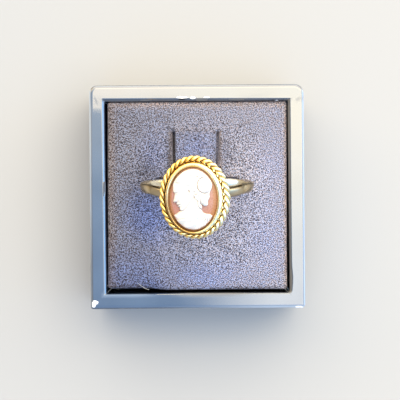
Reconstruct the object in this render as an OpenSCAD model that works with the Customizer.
/* [Ring box] */
// Width of the box, left to right
box_w = 40.4; // [38:0.1:46]
// Depth of the box, front to back
box_d = 42.1; // [40:0.1:48]
// Height of the box
box_h = 18; // [17:0.5:22]
// Width of the rim around the opening
rim_w = 2.6; // [2.2:0.1:3]
// Thickness of the box's floor
floor_t = 1.6; // [1:0.1:3]
// Rounding of the upright corners at the back
back_corner = 1.2; // [0.8:0.1:1.5]
// Rounding of the upright corners at the front
front_corner = 0.6; // [0.4:0.1:1.5]
// Rounding of the rim's outer top edge
rim_round = 0.7; // [0.3:0.1:1]
// Bevel of the rim's inner top edge
rim_bevel = 0.2; // [0.1:0.05:0.4]

/* [Pad] */
// How far the pad's top lies below the rim
pad_drop = 0.9; // [0.5:0.1:1.5]
// Clearance between the pad and the box wall, on average
pad_gap = 0.5; // [0.4:0.05:0.6]
// How far the pad sits to the left of the box's middle
pad_left = 0.2; // [0:0.05:0.3]
// How far the pad sits to the back of the box's middle
pad_back = 0.3; // [0:0.05:0.35]
// Rounding of the pad's top edges
pad_round = 1.1; // [0.6:0.1:1.6]
// Left edge of the tongue
tongue_left = -4.4; // [-5:0.1:-4]
// Right edge of the tongue
tongue_right = 3.9; // [3.5:0.1:5]
// Distance from the ring to the tongue's fold
tongue_l = 10.1; // [8:0.1:12]
// How far the tongue's free end is pressed down
tongue_dip = 2.1; // [1:0.1:2.5]
// Width of the cuts along the tongue
cut_w = 0.5; // [0.3:0.05:0.8]
// Depth of the cuts along the tongue
cut_depth = 9; // [5:0.5:12]

/* [Shank] */
// Diameter of the finger hole
finger_d = 17.9; // [16.5:0.1:18.5]
// Thickness of the shank at its crown
shank_t = 1.45; // [1.2:0.05:1.6]
// Width of the shank at the bottom
shank_w = 2; // [1.7:0.05:2.1]
// How deep the shank sits in the pad
ring_sink = 2.9; // [2:0.1:4]
// Place of the ring's centre, front to back
ring_y = 1.86; // [0:0.02:3]
// Lean of the ring towards the front, in degrees
ring_lean = 3; // [0:0.5:4]
// Clearance between the ring and the slot that holds it
slot_gap = 0.15; // [0.1:0.05:0.25]

/* [Head] */
// Width of the bezel, outside its lip
bezel_w = 9.9; // [9:0.1:11]
// Length of the bezel, outside its lip
bezel_l = 12.1; // [11.5:0.1:13]
// Width of the polished lip
lip_w = 0.7; // [0.5:0.05:0.8]
// Height of the lip's crest above the rope
lip_rise = 1.05; // [0.9:0.05:1.3]
// Depth of the cup below the rope
cup_depth = 1.45; // [1.3:0.05:1.6]
// Diameter of one strand of the rope
strand_d = 0.55; // [0.45:0.01:0.6]
// Full turns of the twist around the bezel
rope_twists = 17; // [15:1:22]
// How far the head sits to the left of the ring's middle
head_left = 0.34; // [0:0.02:0.4]
// How far the head sits to the front of the ring's middle
head_front = 1.47; // [1.2:0.01:1.6]
// Height of the rope over the ring's centre
head_up = 11.2; // [11.1:0.05:11.3]
// Tilt of the head to the front against the shank, in degrees
head_tilt = 6; // [0:0.5:7]
// Tilt of the head to the left, in degrees
head_roll = 5; // [0:0.5:5]

/* [Cameo] */
// Clearance around the shell in its seat
shell_gap = 0.04; // [0.03:0.01:0.06]
// Rise of the shell's dome over its edge
dome_rise = 0.7; // [0.4:0.05:0.8]
// Clearance between the carved layer and the ground
layer_gap = 0.06; // [0.05:0.01:0.08]
// Bow of the bust's head towards its chest, in degrees
bow = 20; // [0:1:25]
// Size of the bust's head and hair against their own layout
head_size = 1.18; // [1:0.02:1.24]

/* [Hidden] */

pad_top = box_h - pad_drop;
ring_r = finger_d / 2;
ring_z = pad_top - ring_sink + ring_r + shank_t;
ring_at = [0, ring_y, ring_z];
head_at = [-head_left, -head_front, head_up];

// The bezel's wall, seat and rope are laid out from the outside of its lip
bezel_a = bezel_w / 2;
bezel_b = bezel_l / 2;
wall_t = 0.42;
seat_z = -0.55;
lip_z = 0.44;
base_t = 0.5;
rope_out = 0.65;
bezel_steps = rope_twists * 8;

shell_a = bezel_a - wall_t - shell_gap;
shell_b = bezel_b - wall_t - shell_gap;
shell_bottom = seat_z + shell_gap / 2;
shell_edge = lip_z - 0.06;
shell_steps = 64;

// Elevation over the ring's level, and the shank's width there
band_widths = [[-90, shank_w], [0, 2.2], [38, 2.7]];
// Elevation, and each shoulder arm's width, its distance from the ring's plane and its thickness
arm_widths = [[33, 1.2], [58, 1.5], [90, 1.6]];
arm_offsets = [[33, 0.66], [58, 0.97], [90, 1.1]];
arm_depths = [[33, shank_t - 0.1], [60, shank_t + 0.4], [72, shank_t + 0.05], [90, shank_t - 0.25]];
split_at = 37;
arm_from = 31;
arm_inset = 0.04;
band_steps = 44;
arm_steps = 13;

// Forms of the bust on the shell: [x, y, half width, half height, turn, height]
bust_forms = [
    // chest, far shoulder, near shoulder and the folds of the dress
    [-0.1, -4.3, 3.3, 1.6, 0, 0.4],
    [-1.6, -3.6, 1.7, 1.2, 20, 0.4],
    [1.5, -3.4, 1.9, 1.2, -25, 0.5],
    [-0.6, -4.0, 2.3, 0.45, 18, 0.6],
    [0.5, -4.5, 2.3, 0.45, -14, 0.6],
    // neck
    [0.1, -1.9, 1.35, 1.8, -12, 0.5]
];
// Forms of the head, about the ear and before it bows: the same columns
head_forms = [
    // skull, brow, cheek, jaw, chin, nose and lips
    [-0.2, 0.7, 2.3, 2.2, 0, 0.7],
    [-1.5, 0.7, 0.9, 1.1, 0, 0.7],
    [-1.2, -0.6, 1.1, 1.2, 0, 0.8],
    [-0.9, -1.7, 1.2, 0.65, -20, 0.7],
    [-1.75, -2.15, 0.45, 0.4, 0, 0.6],
    [-2.2, -0.35, 0.5, 0.7, -18, 0.55],
    [-2.05, -1.3, 0.35, 0.4, 0, 0.55],
    // hair over the brow, crown, back of the head, knot, the lock behind the ear and the nape's curls
    [-1.2, 2.1, 1.5, 0.9, 28, 0.95],
    [0.2, 2.5, 1.9, 0.9, -5, 1],
    [1.6, 1.7, 1.4, 1.3, -35, 0.95],
    [1.0, 0.4, 1.4, 1.1, 0, 0.95],
    [2.3, -0.1, 1.2, 1.2, 0, 1.05],
    [0.6, -0.7, 0.7, 0.6, -30, 0.85],
    [1.8, -2.0, 0.7, 1.0, -20, 0.85]
];
// Where the ear lies on the shell, and the middle that the carving is worked out from
ear_at = [-0.65, 1.55];
carve_at = [0.2, -0.4];
// The carved layer's height at its cut edge
edge_h = 0.2;
carve_steps = 96;
forms = concat(bust_forms, [for (f = head_forms) bowed(f)]);

// A box shape with rounded upright corners and rounded top edges
module rounded_block(w, d, h, back, front, top) {
    intersection() {
        linear_extrude(h) {
            rounded_end(w, d, back);
            mirror([0, 1]) rounded_end(w, d, front);
        }
        translate([0, d, 0]) rotate([90, 0, 0]) linear_extrude(2 * d) top_profile(w, h, top);
        translate([-w, 0, 0]) rotate([90, 0, 90]) linear_extrude(2 * w) top_profile(d, h, top);
    }
}

// The back half of a rectangle with two rounded corners, and a strip past its middle
module rounded_end(w, d, r) {
    translate([-w / 2, -r]) square([w, d / 2]);
    translate([-w / 2 + r, -r]) square([w - 2 * r, d / 2 + r]);
    for (x = [-1, 1]) translate([x * (w / 2 - r), d / 2 - r]) circle(r, $fn = 48);
}

module top_profile(w, h, r) {
    translate([-w / 2, 0]) square([w, h - r]);
    translate([-w / 2 + r, 0]) square([w - 2 * r, h]);
    for (x = [-1, 1]) translate([x * (w / 2 - r), h - r]) circle(r, $fn = 48);
}

// A closed skin over rings of points, with a flat end at the first and the last
module skin(rings) {
    n = len(rings);
    m = len(rings[0]);
    sides = [
        for (i = [0:n - 2], j = [0:m - 1])
            let (side = (j + 1) % m)
                [i * m + j, (i + 1) * m + j, (i + 1) * m + side, i * m + side]
    ];
    ends = [[for (j = [0:m - 1]) j], [for (j = [m - 1:-1:0]) (n - 1) * m + j]];
    polyhedron([for (r = rings) each r], concat(sides, ends));
}

// Places children in the ring's own frame: the hole along y, the head up
module in_ring() {
    translate(ring_at) rotate([ring_lean, 0, 0]) children();
}

// Places children in the head's frame: the rope's plane at z = 0
module in_head() {
    in_ring() translate(head_at) rotate([head_tilt, -head_roll, 0]) children();
}

// The shank's D section: how far out from the finger hole, and where along the hole
function d_section(w, t) = [
    [0, -0.4 * w], [0.08 * t, -w / 2], [0.55 * t, -w / 2], [0.84 * t, -0.36 * w], [t, -0.13 * w],
    [t, 0.13 * w], [0.84 * t, 0.36 * w], [0.55 * t, w / 2], [0.08 * t, w / 2], [0, 0.4 * w]
];

// The band below the shoulders, round under the finger
module shank_band() {
    from = 180 - split_at;
    span = 180 + 2 * split_at;
    skin([
        for (i = [0:band_steps])
            let (q = from + span * i / band_steps, w = lookup(asin(sin(q)), band_widths))
                [for (p = d_section(w, shank_t)) [(ring_r + p.x) * cos(q), p.y, (ring_r + p.x) * sin(q)]]
    ]);
}

// One of the two arms that the band splits into, over the finger under the head
module shoulder_arm(side) {
    span = 180 - 2 * arm_from;
    for (i = [0:arm_steps - 1])
        hull() for (k = [i, i + 1]) arm_slice(side, arm_from + span * k / arm_steps);
}

module arm_slice(side, q) {
    level = asin(sin(q));
    rotate([0, -q, 0]) translate([ring_r + arm_inset, side * lookup(level, arm_offsets), 0])
        linear_extrude(0.3, center = true)
            polygon(d_section(lookup(level, arm_widths), lookup(level, arm_depths)));
}

// Distance from the rope's middle to its skin, across two strands laid side by side
function rope_radius(q) =
    let (r = strand_d / 2, off = 0.87 * r)
        off * abs(cos(q)) + sqrt(pow(r, 2) - pow(off * sin(q), 2));

// The cup's outline at one step round it: how far outside the lip, and how high over the rope
function cup_outline(twist) =
    let (lip = lip_w / 2, hollow = -1)
        concat(
            // under the base, up the tapered wall and out under the rope
            [[-0.75, -cup_depth], [-0.1, -0.75], [0.9, -0.6], [1, -0.35]],
            // round the rope, whose two strands turn about each other
            [for (q = [-45:26.25:165]) [rope_out, 0] + rope_radius(q - twist) * [cos(q), sin(q)]],
            // up the wall and over the lip
            [[0, 0], [0, lip_rise - lip - 0.2]],
            [for (q = [0:45:180]) [-lip + lip * cos(q), lip_rise - lip + lip * sin(q)]],
            // down into the seat and the hollow below it
            [[-lip_w, lip_z + 0.08], [-wall_t, lip_z], [-wall_t, seat_z]],
            [[hollow, seat_z], [hollow, base_t - cup_depth]]
        );

// The cup with its tapered wall, the rope round it and the lip rolled over the shell
module bezel() {
    outlines = [for (i = [0:bezel_steps - 1]) cup_outline(rope_twists * 360 * i / bezel_steps)];
    skin([
        for (k = [0:len(outlines[0]) - 1])
            [
                for (i = [0:bezel_steps - 1])
                    let (q = 360 * i / bezel_steps, p = outlines[i][k])
                        [(bezel_a + p.x) * cos(q), (bezel_b + p.x) * sin(q), p.y]
            ]
    ]);
}

module ring_mount() {
    color("gold") {
        in_ring() {
            shank_band();
            for (side = [-1, 1]) shoulder_arm(side);
        }
        in_head() bezel();
    }
}

// Height of the shell's domed face at a point
function dome(p) = shell_edge + dome_rise * (1 - pow(p.x / shell_a, 2) - pow(p.y / shell_b, 2));

// The shell's ground layer: an oval slab with a domed face
module cameo_ground() {
    color("peru") in_head() skin(concat(
        [shell_loop(1, shell_bottom)],
        [for (f = [1, 0.93, 0.83, 0.7, 0.55, 0.38, 0.18]) shell_loop(f, dome([f * shell_a, 0]))]
    ));
}

function shell_loop(f, z) = [
    for (i = [0:shell_steps - 1])
        let (q = 360 * i / shell_steps) [f * shell_a * cos(q), f * shell_b * sin(q), z]
];

// A head form's row once the head has its size and has bowed
function bowed(f) =
    let (x = head_size * f[0], y = head_size * f[1])
        [
            ear_at.x + x * cos(bow) - y * sin(bow), ear_at.y + x * sin(bow) + y * cos(bow),
            head_size * f[2], head_size * f[3], f[4] + bow, f[5]
        ];

// A point seen from a form's middle, in units of its half width and half height
function in_form(f, p) =
    let (x = p.x - f[0], y = p.y - f[1])
        [(x * cos(f[4]) + y * sin(f[4])) / f[2], (y * cos(f[4]) - x * sin(f[4])) / f[3]];

// How far a form reaches from the carving's middle in a direction
function reach(f, q) =
    let (
        from = in_form(f, carve_at),
        step = in_form(f, carve_at + [cos(q), sin(q)]) - from,
        a = step * step,
        b = from * step,
        root = b * b - a * (from * from - 1)
    ) root < 0 ? 0 : (sqrt(root) - b) / a;

// Height of the bust over the ground at a point
function carved(p) =
    edge_h + max([for (f = forms) let (d = in_form(f, p)) f[5] * sqrt(max(0, 1 - pow(d * d, 2)))]);

// The carved layer: out along its underside, then back over the bust
module cameo_relief() {
    field = [0, 0, bezel_a - lip_w - 0.15, bezel_b - lip_w - 0.15, 0];
    turns = [for (i = [0:carve_steps - 1]) 360 * i / carve_steps];
    sharp = [for (q = turns) min(reach(field, q), max([for (f = forms) reach(f, q)]))];
    last = carve_steps - 1;
    outline = [
        for (i = [0:last])
            (sharp[i == 0 ? last : i - 1] + 2 * sharp[i] + sharp[i == last ? 0 : i + 1]) / 4
    ];
    under = [0.06, 0.22, 0.38, 0.54, 0.7, 0.85, 1];
    over = [1, 0.97, 0.93, 0.87, 0.8, 0.72, 0.63, 0.53, 0.42, 0.3, 0.18, 0.06];
    color("ivory") in_head() skin(concat(
        [for (f = under) carved_loop(turns, outline * f, false)],
        [for (f = over) carved_loop(turns, outline * f, true)]
    ));
}

function carved_loop(turns, radii, on_top) = [
    for (i = [0:len(turns) - 1])
        let (p = carve_at + radii[i] * [cos(turns[i]), sin(turns[i])])
            [p.x, p.y, dome(p) + layer_gap + (on_top ? carved(p) : 0)]
];

module box_tray() {
    open_w = box_w - 2 * rim_w;
    open_d = box_d - 2 * rim_w;
    color("midnightblue") difference() {
        rounded_block(box_w, box_d, box_h, back_corner, front_corner, rim_round);
        translate([-open_w / 2, -open_d / 2, floor_t]) cube([open_w, open_d, box_h]);
        // the bevel: a mouth that widens towards the top
        intersection() {
            translate([0, box_d, 0]) rotate([90, 0, 0]) linear_extrude(2 * box_d) mouth(open_w);
            translate([-box_w, 0, 0]) rotate([90, 0, 90]) linear_extrude(2 * box_w) mouth(open_d);
        }
    }
}

module mouth(w) {
    polygon([
        [-w / 2, box_h - rim_bevel], [w / 2, box_h - rim_bevel],
        [w / 2 + 2 * rim_bevel, box_h + rim_bevel], [-w / 2 - 2 * rim_bevel, box_h + rim_bevel]
    ]);
}

module ring_pad() {
    w = box_w - 2 * (rim_w + pad_gap);
    d = box_d - 2 * (rim_w + pad_gap);
    fold_y = ring_y + tongue_l;
    slot_w = shank_w + 0.2 + 2 * slot_gap;
    over = 1;
    color("slategray") difference() {
        translate([-pad_left, pad_back, floor_t])
            rounded_block(w, d, pad_top - floor_t, pad_round, pad_round, pad_round);
        // the slot that grips the shank, cut along the ring's own circle
        in_ring() rotate([90, 0, 0])
            cylinder(r = ring_r + shank_t + slot_gap, h = slot_w, center = true, $fn = 120);
        // the tongue pressed down towards the slot
        translate([tongue_left, 0, 0]) rotate([90, 0, 90]) linear_extrude(tongue_right - tongue_left)
            polygon([
                [ring_y, pad_top - tongue_dip], [fold_y, pad_top],
                [fold_y, pad_top + over], [ring_y, pad_top + over]
            ]);
        // the cuts along its sides
        for (x = [tongue_left, tongue_right])
            translate([x - cut_w / 2, ring_y, pad_top - cut_depth]) cube([cut_w, tongue_l, cut_depth + over]);
    }
}

ring_mount();
cameo_ground();
cameo_relief();
box_tray();
ring_pad();
